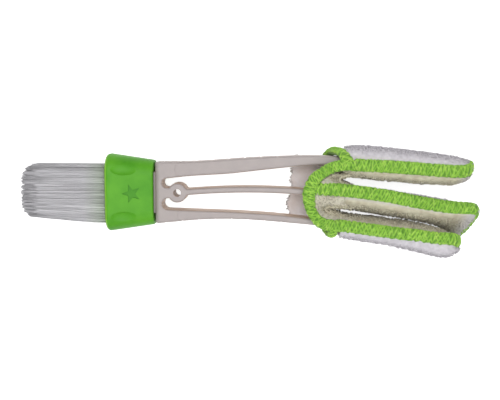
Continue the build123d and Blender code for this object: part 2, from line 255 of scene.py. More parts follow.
def handlePlastic():
    # pale moulding with a painted warm glow on its side walls: the slot walls a warmer tan than its faces and its outer
    # walls
    material, tree, shader = newMaterial("handlePlastic", 0.45)
    facing = addMath(tree, "ABSOLUTE", axesOf(tree, "Normal")["Z"])
    slot, outer = [colourRamp(tree, facing, [(0.2, handleTints[wall]), (0.75, handleTints["faceGrey"])])
                   for wall in ("slotPaintedGlow", "wallPaintedGlow")]
    spot = axesOf(tree, "Object")
    away = addMath(tree, "ABSOLUTE", addMath(tree, "SUBTRACT", spot["Y"], armLine["middleY"] * mm))
    reach = addMath(tree, "MULTIPLY_ADD", spot["X"], armLine["spread"], armLine["startY"] * mm)
    # painted glow: tan on the slot walls, a paler warm grey on the outer walls
    walls = mixColours(tree, addMath(tree, "GREATER_THAN", away, reach), slot, outer)
    patches = mottle(tree, 260.0, 6.0, (0.93, 0.93, 0.94), (1.0, 1.0, 1.0))
    plug(tree, shader.inputs["Base Color"], mixColours(tree, 1.0, walls, patches, "MULTIPLY"))
    addBump(tree, shader, grain(tree, 3500.0, 2.0), strength=0.15, distance=0.08 * mm)
    return material


# where the collar's flat front starts at the neck, its star and its lip, in mm
collarFace = {"neckX": -9.1, "neckZ": 7.0, "slope": 1.5 / 18.7, "starX": -17.3, "starReach": 4.4, "lipX": -26.9}


def collarPlastic():
    # saturated moulding with soft mottling; the pressed star is darkened with painted shade
    material, tree, shader = newMaterial("collarPlastic", 0.5)
    shader.inputs["Specular IOR Level"].default_value = 0.25
    green = mottle(tree, 110.0, 5.0, (0.075, 0.34, 0.012), (0.125, 0.44, 0.022))
    # a painted highlight makes the lip at its mouth paler
    spot = axesOf(tree, "Object")
    lipHighlightMask = addMath(tree, "LESS_THAN", spot["X"], collarFace["lipX"] * mm)
    rim = mixColours(tree, lipHighlightMask, green, (0.24, 0.55, 0.05, 1))
    # how far a point lies below the flat front, in mm
    x, y, z = [addMath(tree, "MULTIPLY", spot[axis], 1000.0) for axis in "XYZ"]
    slope = collarFace["slope"]
    front = addMath(tree, "MULTIPLY_ADD", spot["X"], -1000.0 * slope, collarFace["neckZ"] + collarFace["neckX"] * slope)
    depth = addMath(tree, "SUBTRACT", front, z)
    starPaintedShade = colourRamp(tree, depth, [(0.05, (1, 1, 1)), (0.2, (0.38, 0.52, 0.48)), (0.36, (0.68, 0.80, 0.74))])
    # the painted shade is kept to a square about the star
    close = [addMath(tree, "LESS_THAN", addMath(tree, "ABSOLUTE", away), collarFace["starReach"])
             for away in (addMath(tree, "ADD", x, -collarFace["starX"]), y)]
    near = addMath(tree, "MULTIPLY", *close)
    plug(tree, shader.inputs["Base Color"], mixColours(tree, near, rim, starPaintedShade, "MULTIPLY"))
    addBump(tree, shader, grain(tree, 1500.0), strength=0.12, distance=0.1 * mm)
    return material


def blockPlastic():
    material, tree, shader = newMaterial("blockPlastic", 0.6)
    plug(tree, shader.inputs["Base Color"], mottle(tree, 300.0, 3.0, (0.20, 0.22, 0.19), (0.27, 0.29, 0.26)))
    return material


bristleShade = {"tipX": -61, "mouthX": -27, "stretch": (12.0, 900.0, 900.0)}


def bristleNylon():
    # streaks that run along each strand, because the pattern is stretched along X
    material, tree, shader = newMaterial("bristleNylon", 0.42)
    place = tree.nodes.new("ShaderNodeTexCoord")
    stretch = addNode(tree, "ShaderNodeMapping")
    stretch.inputs["Scale"].default_value = bristleShade["stretch"]
    tree.links.new(place.outputs["Object"], stretch.inputs["Vector"])
    streaks = addNode(tree, "ShaderNodeTexNoise", Scale=1.0, Detail=3.0)
    tree.links.new(stretch.outputs[0], streaks.inputs["Vector"])
    colour = colourRamp(tree, streaks.outputs["Fac"], [(0.3, (0.70, 0.69, 0.715)), (0.7, (0.84, 0.83, 0.86))])
    # painted light and shade: the tips are painted paler, and the strands a green shade where they leave the collar
    reach = addNode(tree, "ShaderNodeMapRange")
    plug(tree, reach.inputs["Value"], axesOf(tree, "Object")["X"])
    plug(tree, reach.inputs["From Min"], bristleShade["tipX"] * mm)
    plug(tree, reach.inputs["From Max"], bristleShade["mouthX"] * mm)
    grey = (0.77, 0.77, 0.77)
    paintedTipLightAndMouthShade = colourRamp(tree, reach.outputs[0],
                       [(0.0, (1, 1, 1)), (0.25, grey), (0.72, grey), (1.0, (0.53, 0.62, 0.48))])
    plug(tree, shader.inputs["Base Color"], mixColours(tree, 1.0, colour, paintedTipLightAndMouthShade, "MULTIPLY"))
    return material


def terryCloth():
    # lilac-grey terry, painted an olive and brown shade where markPile marks it
    material, tree, shader = newMaterial("terryCloth", 0.95)
    litLilac = mottle(tree, 700.0, 5.0, (0.56, 0.535, 0.57), (0.72, 0.69, 0.73))
    shadedOlive = mottle(tree, 420.0, 4.0, (0.50, 0.445, 0.32), (0.66, 0.63, 0.48))
    paintedShade = addNode(tree, "ShaderNodeAttribute", attribute_name="paintedShade")
    plug(tree, shader.inputs["Base Color"], mixColours(tree, paintedShade.outputs["Fac"], litLilac, shadedOlive))
    shader.inputs["Sheen Weight"].default_value = 0.3
    addBump(tree, shader, grain(tree, 2600.0, 4.0), strength=0.5, distance=0.3 * mm)
    return material


def knitBack():
    # the smooth reverse of the terry, which shows on the palm at the back; its colour is raised with painted light to
    # make up for the shade it sits in
    material, tree, shader = newMaterial("knitBack", 0.9)
    plug(tree, shader.inputs["Base Color"], mottle(tree, 160.0, 5.0, (0.76, 0.685, 0.66), (0.90, 0.86, 0.88)))
    addBump(tree, shader, grain(tree, 1900.0), strength=0.5, distance=0.3 * mm)
    return material


def greenYarn():
    # the tone of each yarn, which buildBand sets, deepens it and parts it from the next; a tone near 0 is painted
    # shade, in the underlay and the stitches
    material, tree, shader = newMaterial("greenYarn", 0.75)
    yarn = colourRamp(tree, grain(tree, 600.0, 4.0),
                      [(0.25, (0.20, 0.46, 0.03)), (0.5, (0.36, 0.68, 0.07)), (0.8, (0.60, 0.86, 0.15))])
    toneAndShade = addNode(tree, "ShaderNodeAttribute", attribute_name="toneAndShade")
    depth = colourRamp(tree, toneAndShade.outputs["Fac"],
                       [(0.0, (0.42, 0.52, 0.42)), (0.45, (0.74, 0.84, 0.72)), (1.0, (1.0, 1.0, 1.0))])
    plug(tree, shader.inputs["Base Color"], mixColours(tree, 1.0, yarn, depth, "MULTIPLY"))
    shader.inputs["Sheen Weight"].default_value = 0.2
    addBump(tree, shader, grain(tree, 4200.0), strength=0.6, distance=0.2 * mm)
    return material


finishes = {
    "handle_plastic": handlePlastic(),
    "collar_plastic": collarPlastic(),
    "block_plastic": blockPlastic(),
    "bristle_nylon": bristleNylon(),
    "terry_cloth": terryCloth(),
    "green_yarn": greenYarn(),
}
clothReverse = knitBack()
for row in frame["record"]["subparts"]:
    node = frame["nodes"][row["node"]]
    node.data.materials.clear()
    node.data.materials.append(finishes[row["material_slot"]])
print("materials ready")

# bristles: one dense bundle for each of the three rows of tufts; lengths are in mm

bristleSet = {
    "rootX": -25.2, "tipX": -61.1, "rows": ["bristles_back", "bristles_middle", "bristles_front"],
    "rowZ": [-3.55, 0.0, 3.55], "rowDepth": 3.9, "height": 22.5, "drop": -0.5, "perRow": 1250,
    "rootRadius": 0.21, "tipRadius": 0.13, "bends": 4, "ragged": 0.9, "raggedShare": 0.6, "seed": 11,
    # the tips lean to the middle of their tuft, and each row's tufts lie lower than the last row's
    "tuftPitch": 1.9, "rowTurn": 0.3, "rowShift": 0.57, "clump": 0.55, "leastLean": 0.3,
    # the corners are worn round, and the lower side is drawn up a little
    "corner": 3.4, "cornerPower": 5, "lowerCorner": 1.1, "drawn": 2.2, "drawnPower": 1.5,
    "waver": 0.25, "waveTurn": 3.1, "depthShare": 0.8,
    # gaps between the tips: (height, width, depth)
    "gaps": ((4.1, 0.35, 1.3), (-0.9, 0.3, 1.6)),
}
coreSet = {
    "rings": 24, "sides": 16, "boxPower": 0.4, "short": 2.3, "inset": 0.35, "depthInset": 0.25,
    "taper": 2.2, "taperFrom": 0.84, "taperOver": 0.16, "taperDepth": 0.35,
}


def strandMesh():
    # one unit strand along -X, three-sided, that every bristle bends and stretches
    bm = bmesh.new()
    rings = []
    for t in shares(bristleSet["bends"]):
        radius = bristleSet["rootRadius"] + (bristleSet["tipRadius"] - bristleSet["rootRadius"]) * t
        turns = [math.radians(a) for a in (90, 210, 330)]
        rings.append(ringLoop(bm, [(-t, radius * math.cos(a), radius * math.sin(a)) for a in turns]))
    bridgeRings(bm, rings)
    return newMesh(bm, "strandTemplate")


def addStrand(bm, template, index, rowZ, rand):
    cut = bristleSet
    half = cut["height"] / 2
    y0 = rand.uniform(-1, 1) * half
    z0 = rowZ + rand.uniform(-0.5, 0.5) * cut["rowDepth"]
    tuftAt = round(y0 / cut["tuftPitch"] + cut["rowTurn"] * index) * cut["tuftPitch"] - cut["rowShift"] * index
    lean = (tuftAt - y0) * cut["clump"] * rand.uniform(cut["leastLean"], 1.0)
    corner = cut["corner"] * (abs(y0) / half) ** cut["cornerPower"] * (1.0 if y0 > 0 else cut["lowerCorner"])
    length = cut["rootX"] - cut["tipX"] - corner - abs(rand.gauss(0, cut["ragged"])) * cut["raggedShare"]
    length -= sum(depth * hump(y0, middle, width) for middle, width, depth in cut["gaps"])
    wave = rand.uniform(-cut["waver"], cut["waver"])
    spread = rand.uniform(-cut["waver"], cut["waver"])
    first = len(bm.verts)
    bm.from_mesh(template)
    bm.verts.ensure_lookup_table()
    for vert in bm.verts[first:]:
        t = -vert.co.x
        ease = t * t
        drawn = cut["drawn"] * t ** cut["drawnPower"] * smoothStep(-y0 / half)
        vert.co.x = cut["rootX"] - t * length
        vert.co.y += y0 + cut["drop"] + drawn + lean * ease + wave * math.sin(cut["waveTurn"] * t) + spread * ease
        vert.co.z += z0 + (wave - spread) * ease * cut["depthShare"]


def addCore(bm, rowZ):
    # a pale core between the strands, so that no light falls through the tuft
    cut, core = bristleSet, coreSet
    half = cut["height"] / 2
    rings = []
    for t in shares(core["rings"]):
        x = cut["rootX"] - t * (cut["rootX"] - cut["tipX"] - core["short"])
        pull = core["taper"] * smoothStep((t - core["taperFrom"]) / core["taperOver"])
        low = -half + core["inset"] + cut["drawn"] * t ** cut["drawnPower"] + pull
        high = half - core["inset"] - pull
        deep = cut["rowDepth"] / 2 - core["depthInset"] - core["taperDepth"] * pull
        rings.append(ringLoop(bm, [
            (x, (low + high) / 2 + (high - low) / 2 * across + cut["drop"], rowZ + deep * up)
            for across, up in boxedCircle(core["sides"], core["boxPower"])]))
    bridgeRings(bm, rings)


def buildBristles():
    template = strandMesh()
    for index, (node, rowZ) in enumerate(zip(bristleSet["rows"], bristleSet["rowZ"])):
        rand = random.Random(bristleSet["seed"] + index)
        bm = bmesh.new()
        for _ in range(bristleSet["perRow"]):
            addStrand(bm, template, index, rowZ, rand)
        addCore(bm, rowZ)
        bundle = toMesh(bm, node.replace("_", "") + "Bundle", toRow)
        dress(bundle, "bristle_nylon", [node])
        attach(bundle, "handle")
    bpy.data.meshes.remove(template)


buildBristles()
print("bristles ready")


# terry pile: small yarn loops scattered over a cloth; lengths are in mm

pileSet = {
    "loopRadius": 0.33, "yarnRadius": 0.19, "loopHeight": 0.74, "sink": 0.12, "bends": 6,
    "spacing": 0.8, "crowding": 1.6, "tilt": 0.6, "smallest": 0.75, "largest": 1.25,
}


def pileLoop():
    bm = bmesh.new()
    rings = []
    for k in range(pileSet["bends"] + 1):
        a = math.pi * k / pileSet["bends"]
        height = math.sin(a) * pileSet["loopHeight"] - pileSet["sink"]
        centre = Vector((-math.cos(a) * pileSet["loopRadius"], 0, height))
        outward = Vector((-math.cos(a), 0, math.sin(a)))
        ring = []
        for b in (0, 120, 240):
            r = math.radians(b)
            ring.append(centre + (outward * math.cos(r) + Vector((0, 1, 0)) * math.sin(r)) * pileSet["yarnRadius"])
        rings.append(ringLoop(bm, ring))
    bridgeRings(bm, rings)
    loop = toMesh(bm, "pileLoop", toRow)
    return loop


def pileGroup(loop, seed, keepCloth):
    group = bpy.data.node_groups.new("terryPile", "GeometryNodeTree")
    for way in ("INPUT", "OUTPUT"):
        group.interface.new_socket("Geometry", in_out=way, socket_type="NodeSocketGeometry")
    link = group.links.new
    start = addNode(group, "NodeGroupInput")
    end = addNode(group, "NodeGroupOutput")
    spacing = pileSet["spacing"] * mm
    scatter = addNode(group, "GeometryNodeDistributePointsOnFaces", distribute_method="POISSON", Seed=seed,
                      Distance_Min=spacing, Density_Max=pileSet["crowding"] / spacing ** 2)
    where = addNode(group, "GeometryNodeInputNamedAttribute", data_type="FLOAT", Name="pile")
    link(start.outputs[0], scatter.inputs["Mesh"])
    link(where.outputs["Attribute"], scatter.inputs["Density Factor"])
    source = addNode(group, "GeometryNodeObjectInfo", Object=loop)
    tilt = pileSet["tilt"]
    turn = addNode(group, "FunctionNodeRandomValue", data_type="FLOAT_VECTOR", Seed=seed + 1,
                   Min=(-tilt, -tilt, -math.pi), Max=(tilt, tilt, math.pi))
    euler = addNode(group, "FunctionNodeEulerToRotation")
    link(turn.outputs["Value"], euler.inputs[0])
    rotate = addNode(group, "FunctionNodeRotateRotation", rotation_space="LOCAL")
    link(scatter.outputs["Rotation"], rotate.inputs[0])
    link(euler.outputs[0], rotate.inputs[1])
    size = addNode(group, "FunctionNodeRandomValue", data_type="FLOAT", Seed=seed + 2)
    size.inputs[2].default_value = pileSet["smallest"]
    size.inputs[3].default_value = pileSet["largest"]
    place = addNode(group, "GeometryNodeInstanceOnPoints")
    link(scatter.outputs["Points"], place.inputs["Points"])
    link(source.outputs["Geometry"], place.inputs["Instance"])
    link(rotate.outputs[0], place.inputs["Rotation"])
    link(size.outputs[1], place.inputs["Scale"])
    realize = addNode(group, "GeometryNodeRealizeInstances")
    link(place.outputs[0], realize.inputs[0])
    join = addNode(group, "GeometryNodeJoinGeometry")
    link(realize.outputs[0], join.inputs[0])
    if keepCloth:
        link(start.outputs[0], join.inputs[0])
    link(join.outputs[0], end.inputs[0])
    return group


def addPile(piece, seed, keepCloth=True):
    loop = pileLoop()
    group = pileGroup(loop, seed, keepCloth)
    scatter = piece.modifiers.new("terryPile", "NODES")
    scatter.node_group = group
    bakeModifiers(piece)
    bpy.data.objects.remove(loop, do_unlink=True)
    bpy.data.node_groups.remove(group)
    shadeSmooth(piece.data)


def markPile(piece, wanted, shadeAt):
    # pile is 1 where loops grow and 0 where they don't; the second value is how much olive painted shade the cloth gets
    pile = piece.data.attributes.new("pile", "FLOAT", "POINT")
    for vert in piece.data.vertices:
        pile.data[vert.index].value = 1.0 if wanted(vert) else 0.0
    paintedShade = piece.data.attributes.new("paintedShade", "FLOAT", "POINT")
    for vert in piece.data.vertices:
        paintedShade.data[vert.index].value = shadeAt(vert)


def ruffle(piece, amount, scale, seed):
    # uneven cloth: vertices move along their normals by smooth noise
    shift = Vector((seed * 7.3, seed * 1.9, seed * 4.1))
    for vert in piece.data.vertices:
        lump = noise.noise(vert.co / (scale * mm) + shift) * amount * mm
        vert.co += vert.normal * lump


# cloth fingers: each is a closed sleeve with a pocket for its blade; stations are
# (u, top, underside, half breadth, turn in degrees) in the glove's own frame, in mm

fingers = {
    "upperFinger": {
        "body": "upper_sleeve", "nodes": ("upper_outer_panel", "upper_inner_panel"), "seed": 3,
        "shadeSide": -1, "shadeBias": 0.45, "lean": -0.2, "skew": 0.0, "pocket": (13.37, 33.2), "squareness": 3.8,
        "stations": [
            (-3.4, 18.3, 9.0, 9.2, 0), (-1.2, 18.9, 8.4, 9.4, 0), (1, 19.3, 8.15, 9.6, 0), (4.7, 19.7, 8.2, 9.6, 0),
            (11.3, 20.1, 8.4, 9.6, 0), (20.7, 20.4, 8.9, 9.6, 0), (31, 20.6, 9.65, 9.6, 0), (38.5, 20.6, 10.4, 9.6, 0),
            (42.0, 20.4, 11.1, 9.1, 0), (43.8, 19.9, 12.1, 7.8, 0), (44.8, 19.1, 13.3, 6.3, 0),
            (45.4, 18.1, 14.7, 4.9, 0),
        ],
    },
    "middleFinger": {
        "body": "glove_core", "nodes": ("middle_upper_panel", "middle_lower_panel"), "seed": 5,
        "shadeSide": -1, "shadeBias": 0.75, "lean": -0.15, "skew": 0.13, "pocket": (0.0, 36.7), "squareness": 4.4,
        "stations": [
            (-1.5, 2.5, -4.3, 9.3, 10), (0, 3.0, -4.3, 9.6, 10), (9.8, 3.2, -4.5, 9.6, 11),
            (19.7, 3.2, -4.75, 9.6, 11.5), (29.5, 3.1, -4.95, 9.6, 12), (34.5, 2.8, -5.2, 9.6, 13),
            (38.5, 1.7, -5.5, 9.6, 18), (42.3, 0.1, -5.8, 9.6, 26), (46.0, -1.1, -6.1, 9.4, 33.5),
            (47.4, -2.1, -6.1, 9.1, 37), (48.3, -3.1, -5.5, 8.6, 38),
        ],
    },
    "lowerFinger": {
        "body": "lower_sleeve", "nodes": ("lower_inner_panel", "lower_outer_panel"), "seed": 8,
        "shadeSide": 1, "shadeBias": 0.0, "lean": 0.12, "skew": 0.0, "pocket": (-11.19, 33.2), "squareness": 3.8,
        "stations": [
            (-1.2, -8.0, -15.6, 9.3, 0), (1, -7.6, -16.0, 9.6, 0), (9.7, -7.4, -16.0, 9.6, 0),
            (18.1, -7.3, -16.1, 9.6, 0), (25.7, -7.2, -16.7, 9.6, 0), (33.4, -7.45, -17.6, 9.6, 2.5),
            (37.5, -8.05, -18.2, 9.4, 5), (41.0, -9.4, -18.0, 8.6, 8), (43.0, -10.2, -17.2, 7.2, 9),
            (44.6, -11.3, -15.7, 5.4, 9),
        ],
    },
}
# what the three have in common; each ease is (mm before the last station where it starts, mm that it takes)
sleeveSet = {
    "sides": 48, "step": 1.0, "rounds": 3, "tipEase": (9, 9), "capReach": 0.3, "capHeight": 0.6, "capBreadth": 0.88,
    "rimReach": 0.15, "rimInset": 0.9,
    # the pocket's (u, half breadth) at its mouth, then (mm before its end, half breadth)
    "pocketMouth": (1.6, 7.25), "pocketEnd": ((5.4, 7.25), (2.2, 6.2), (0.6, 4.6), (0.0, 3.2)),
    "pocketHeight": 1.45, "pocketSquareness": 7.0,
    "bareHeight": 1.5, "bareBreadth": 7.4, "bareReach": 0.1, "bandEdge": 8.9, "bandTip": 0.9, "bandEase": (8, 8),
    "shadeSlope": 1.6, "shadeFade": 0.75, "shadeEase": (7, 6),
}


def sectionRing(bm, row, squareness, lean=0.0, skew=0.0):
    u, top, low, half, turn = row
    middle = (top + low) / 2
    rise = (top - low) / 2
    points = []
    for across, up in boxedCircle(sleeveSet["sides"], 2 / squareness):
        b = half * across
        h = middle + rise * up
        points.append((u + lean * (middle - h) + skew * b, *turnedPoint(turn, u, h, b)[1:]))
    return ringLoop(bm, points)


def fingerStations(stations, step):
    out = []
    for a, b in zip(stations, stations[1:]):
        count = max(int((b[0] - a[0]) / step), 1)
        for k in range(count):
            t = k / count
            out.append([p + (q - p) * t for p, q in zip(a, b)])
    out.append(list(stations[-1]))
    # ease the corners between stations
    for _ in range(sleeveSet["rounds"]):
        smooth = [out[0]]
        for a, b, c in zip(out, out[1:], out[2:]):
            smooth.append([b[0]] + [(p + 2 * q + r) / 4 for p, q, r in zip(a[1:], b[1:], c[1:])])
        out = smooth + [out[-1]]
    return out


def buildFinger(name, cut):
    form = sleeveSet
    bm = bmesh.new()
    square, skew = cut["squareness"], cut["skew"]
    rows = fingerStations(cut["stations"], form["step"])
    first, last = rows[0], rows[-1]

    def nearTip(u, start, over):
        return smoothStep((u - last[0] + start) / over)

    outer = []
    for row in rows:
        near = nearTip(row[0], *form["tipEase"])
        outer.append(sectionRing(bm, row, square, cut["lean"] * near, skew * near))
    middle = (last[1] + last[2]) / 2
    heights = [middle + (v - middle) * form["capHeight"] for v in last[1:3]]
    tip = [last[0] + form["capReach"]] + heights + [last[3] * form["capBreadth"], last[4]]
    outer.append(sectionRing(bm, tip, square, cut["lean"], skew))
    bridgeRings(bm, outer, capStart=False)
    offset, depth = cut["pocket"]
    inset = form["rimInset"]
    rim = [first[0] - form["rimReach"], first[1] - inset, first[2] + inset, first[3] - inset, first[4]]
    pocket = [sectionRing(bm, rim, square)]
    for u, half in (form["pocketMouth"], *((depth - back, half) for back, half in form["pocketEnd"])):
        row = (u, offset + form["pocketHeight"], offset - form["pocketHeight"], half, 0)
        pocket.append(sectionRing(bm, row, form["pocketSquareness"]))
    bmesh.ops.bridge_loops(bm, edges=outer[0] + pocket[0])
    bridgeRings(bm, pocket, capStart=False)
    piece = toMesh(bm, name, gloveToRow)
    inside = gloveToRow.inverted()

    def outside(vert):
        # no loops in the pocket, on the rim and along the edges that the green band covers
        p = inside @ vert.co
        level = abs(p.y - offset) < form["bareHeight"] and abs(p.z) < form["bareBreadth"]
        deep = level and p.x < depth + form["bareReach"]
        bound = abs(p.z) > form["bandEdge"] - form["bandTip"] * nearTip(p.x, *form["bandEase"])
        return not (deep or bound) and p.x > first[0] + form["bareReach"]

    def shadeOf(vert):
        # painted olive shade on the side that faces a slit, fading out towards the tip
        p = inside @ vert.co
        fade = 1 - form["shadeFade"] * nearTip(p.x, *form["shadeEase"])
        return smoothStep(cut["shadeBias"] + form["shadeSlope"] * cut["shadeSide"] * vert.normal.y) * fade

    markPile(piece, outside, shadeOf)
    ruffle(piece, amount=0.3, scale=4.5, seed=cut["seed"])
    ruffle(piece, amount=0.34, scale=1.5, seed=cut["seed"] + 1)
    addPile(piece, cut["seed"] * 10)
    dress(piece, "terry_cloth", cut["nodes"])
    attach(piece, cut["body"])


for fingerName, fingerCut in fingers.items():
    buildFinger(fingerName, fingerCut)
print("fingers ready")


# green overlock: a rounded band along a cloth edge, wrapped by crossing yarns; lengths are in mm

yarnSet = {
    "radius": 0.23, "pitch": 1.55, "pitchRange": (0.7, 1.3), "slowPitch": 1.1, "bends": 8, "wrapDeg": 104.0,
    "slant": 3.2, "slantRange": (0.55, 1.35), "curl": 0.35, "lowLift": 0.35, "highLift": 0.95, "liftSpread": 0.1,
    "start": 0.2, "startSpread": 0.6, "endGap": 0.3, "tones": (0.45, 1.0), "toneSeed": 500,
    # short stitches where the needle thread goes down along one edge, painted near-black as shade in the gaps there
    "stitchPitch": 3.0, "stitchRange": (0.85, 1.15), "stitchDeg": (-66, -56), "stitchLength": 1.0,
    "stitchBow": 0.42, "stitchMargin": 1.5, "stitchShadeTone": 0.02,
}
# a band narrows at its ends, and its ripples are (size, waves along it)
bandSet = {
    "step": 0.8, "sides": 14, "boxPower": 0.75, "endShare": 0.55, "swell": 0.45, "endReach": 1.2,
    "ripples": ((0.05, 2.1), (0.03, 5.3)),
}


def sweepPath(points, sides):
    # points and side vectors at the same control places, both eased between them
    rows = [list(p) + list(s) for p, s in zip(points, sides)]
    ends = [rows[0]] + rows + [rows[-1]]
    out = []
    for a, b, c, d in zip(ends, ends[1:], ends[2:], ends[3:]):
        count = max(int((Vector(c[:3]) - Vector(b[:3])).length / bandSet["step"]), 1)
        for k in range(count):
            out.append([between(*four, k / count) for four in zip(a, b, c, d)])
    out.append(rows[-1])
    frames = []
    length = 0.0
    for k, row in enumerate(out):
        here = Vector(row[:3])
        ahead = Vector(out[min(k + 1, len(out) - 1)][:3]) - Vector(out[max(k - 1, 0)][:3])
        tangent = ahead.normalized()
        side = Vector(row[3:6])
        share = side.length  # a side vector's length is the band's width share there
        side = (side - tangent * side.dot(tangent)).normalized()
        outward = tangent.cross(side)
        if k:
            length += (here - Vector(out[k - 1][:3])).length
        frames.append((length, here, side, outward, share))
    return frames


def frameAt(frames, s):
    s = min(max(s, 0.0), frames[-1][0])
    for a, b in zip(frames, frames[1:]):
        if s <= b[0]:
            t = (s - a[0]) / max(b[0] - a[0], 1e-9)
            return [p + (q - p) * t for p, q in zip(a[1:], b[1:])]
    return list(frames[-1][1:])


def bandBody(bm, frames, halfWidth, halfThick, openStart):
    form = bandSet
    rings = []
    for s, here, side, outward, share in frames:
        nearEnd = frames[-1][0] - s if openStart else min(s, frames[-1][0] - s)
        swell = form["endShare"] + form["swell"] * smoothStep(nearEnd / form["endReach"])
        swell *= sum((size * math.sin(s * waves) for size, waves in form["ripples"]), 1)
        rings.append(ringLoop(bm, [
            here + side * (halfWidth * share * swell * across) + outward * (halfThick * swell * up)
            for across, up in boxedCircle(form["sides"], form["boxPower"])]))
    bridgeRings(bm, rings)


def yarnCurves(name, strands, radius, matrix):
    data = bpy.data.curves.new(name, "CURVE")
    data.dimensions = "3D"
    data.bevel_depth = radius * mm
    data.bevel_resolution = 1
    data.use_fill_caps = True
    for strand in strands:
        spline = data.splines.new("POLY")
        spline.points.add(len(strand) - 1)
        for point, place in zip(spline.points, strand):
            point.co = (*(matrix @ Vector(place)), 1)
    holder = addObject(name, data)
    mesh = bpy.data.meshes.new_from_object(holder.evaluated_get(bpy.context.evaluated_depsgraph_get()))
    bpy.data.objects.remove(holder, do_unlink=True)
    return mesh


def overlockStrands(frames, halfWidth, halfThick, seed):
    yarn = yarnSet
    rand = random.Random(seed)
    strands = []
    wrap = math.radians(yarn["wrapDeg"])
    total = frames[-1][0]
    for family in (1, -1, 1):
        s = yarn["start"] + rand.uniform(0, yarn["startSpread"])
        while s < total - yarn["endGap"]:
            slant = yarn["slant"] * rand.uniform(*yarn["slantRange"])
            lift = yarn["radius"] * (yarn["lowLift"] if family > 0 else yarn["highLift"])
            lift += rand.uniform(-yarn["liftSpread"], yarn["liftSpread"])
            curl = rand.uniform(-yarn["curl"], yarn["curl"])
            strand = []
            for t in shares(yarn["bends"]):
                angle = family * wrap * (2 * t - 1)
                here, side, outward, share = frameAt(frames, s + slant * (t - 0.5) + curl * math.sin(2 * math.pi * t))
                bow = lift * math.sin(math.pi * t) ** 0.5 if 0 < t < 1 else 0.0
                x = (halfWidth * share + bow) * math.sin(angle)
                y = (halfThick + bow) * math.cos(angle)
                strand.append(here + side * x + outward * y)
            strands.append(strand)
            s += yarn["pitch"] * rand.uniform(*yarn["pitchRange"]) * (1.0 if len(strands) % 2 else yarn["slowPitch"])
    stitches = []
    s = yarn["stitchMargin"]
    while s < total - yarn["stitchMargin"]:
        low = math.radians(rand.uniform(*yarn["stitchDeg"]))
        strand = []
        for t in shares(yarn["bends"]):
            here, side, outward, share = frameAt(frames, s + yarn["stitchLength"] * (t - 0.5))
            bow = yarn["stitchBow"] * math.sin(math.pi * t)
            across = side * (halfWidth * share + bow) * math.sin(low)
            strand.append(here + across + outward * (halfThick + bow) * math.cos(low))
        stitches.append(strand)
        s += yarn["stitchPitch"] * rand.uniform(*yarn["stitchRange"])
    return strands, stitches


def buildBand(name, cut, points, sides, openStart=False):
    halfWidth, halfThick, seed = cut["halfWidth"], cut["halfThick"], cut["seed"]
    frames = sweepPath(points, sides)
    bm = bmesh.new()
    bandBody(bm, frames, halfWidth, halfThick, openStart)
    bmesh.ops.transform(bm, matrix=gloveToRow, verts=bm.verts)
    bmesh.ops.recalc_face_normals(bm, faces=bm.faces)
    lines, stitches = overlockStrands(frames, halfWidth, halfThick, seed)
    strands = yarnCurves(name, lines + stitches, yarnSet["radius"], gloveToRow)
    under = len(bm.verts)
    each = len(strands.vertices) / (len(lines) + len(stitches))
    bm.from_mesh(strands)
    bpy.data.meshes.remove(strands)
    mesh = newMesh(bm, name)
    # tone is 0 in the underlay, painted dark as shade under the yarns, and differs from yarn to yarn
    rand = random.Random(seed + yarnSet["toneSeed"])
    tones = [rand.uniform(*yarnSet["tones"]) for _ in lines] + [yarnSet["stitchShadeTone"]] * len(stitches)
    toneAndShade = mesh.attributes.new("toneAndShade", "FLOAT", "POINT")
    for k in range(under, len(mesh.vertices)):
        toneAndShade.data[k].value = tones[min(int((k - under) / each), len(tones) - 1)]
    shadeSmooth(mesh)
    band = addObject(name, mesh)
    dress(band, "green_yarn", cut["nodes"])
    return band


def rideBand(name, cut, points, sides):
    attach(buildBand(name, cut, points, sides), cut["body"])


def seamSide(turn, share=1.0):
    a = math.radians(turn)
    return (0, share * math.cos(a), -share * math.sin(a))


